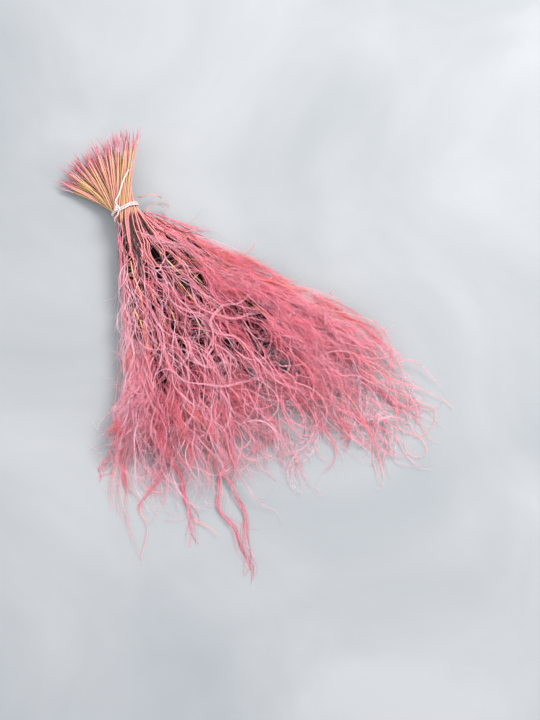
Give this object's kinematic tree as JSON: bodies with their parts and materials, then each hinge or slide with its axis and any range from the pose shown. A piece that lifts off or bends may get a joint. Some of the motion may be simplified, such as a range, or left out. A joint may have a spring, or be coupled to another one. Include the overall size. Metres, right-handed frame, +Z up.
{
  "type": "bundle of feather grass",
  "caption": "Dried, dyed feather grass tied round the stems with cotton string, lying on its side with the plumes fanned out.",
  "frame": {"origin": "middle of the bundle's outline, on the surface that it lies on", "axes": "+X along the bundle from the cut stem ends to the plume tips, +Z up from the surface, +Y across the fan"},
  "size_m": [0.5078, 0.3632, 0.0368],
  "materials": {
    "stem": "dried grass stem, dyed salmon pink, straw yellow lower down, satin",
    "plume": "fine silky hairs, dyed rose pink, matte with a soft sheen",
    "string": "twisted cotton string, off-white, matte",
    "leaf": "narrow dry leaf, dull brownish pink"
  },
  "bodies": {
    "root": {"stem_01": "stem", "stem_02": "stem", "stem_03": "stem", "stem_04": "stem", "stem_05": "stem", "stem_06": "stem", "stem_07": "stem", "stem_08": "stem", "stem_09": "stem", "stem_10": "stem", "stem_11": "stem", "stem_12": "stem", "stem_13": "stem", "stem_14": "stem", "stem_15": "stem", "stem_16": "stem", "stem_17": "stem", "stem_18": "stem", "stem_19": "stem", "stem_20": "stem", "stem_21": "stem", "stem_22": "stem", "stem_23": "stem", "stem_24": "stem", "stem_25": "stem", "stem_26": "stem", "stem_27": "stem", "stem_28": "stem", "stem_29": "stem", "stem_30": "stem", "stem_31": "stem", "stem_32": "stem", "stem_33": "stem", "stem_34": "stem", "stem_35": "stem", "stem_36": "stem", "stem_37": "stem", "stem_38": "stem", "stem_39": "stem", "stem_40": "stem", "plume_01": "plume", "plume_02": "plume", "plume_03": "plume", "plume_04": "plume", "plume_05": "plume", "plume_06": "plume", "plume_07": "plume", "plume_08": "plume", "plume_09": "plume", "plume_10": "plume", "plume_11": "plume", "plume_12": "plume", "plume_13": "plume", "plume_14": "plume", "tie_winding": "string", "tie_knot": "string", "tie_tail_long": "string", "tie_tail_short": "string", "leaf_curled": "leaf", "leaf_trailing": "leaf"}
  },
  "joints": []
}
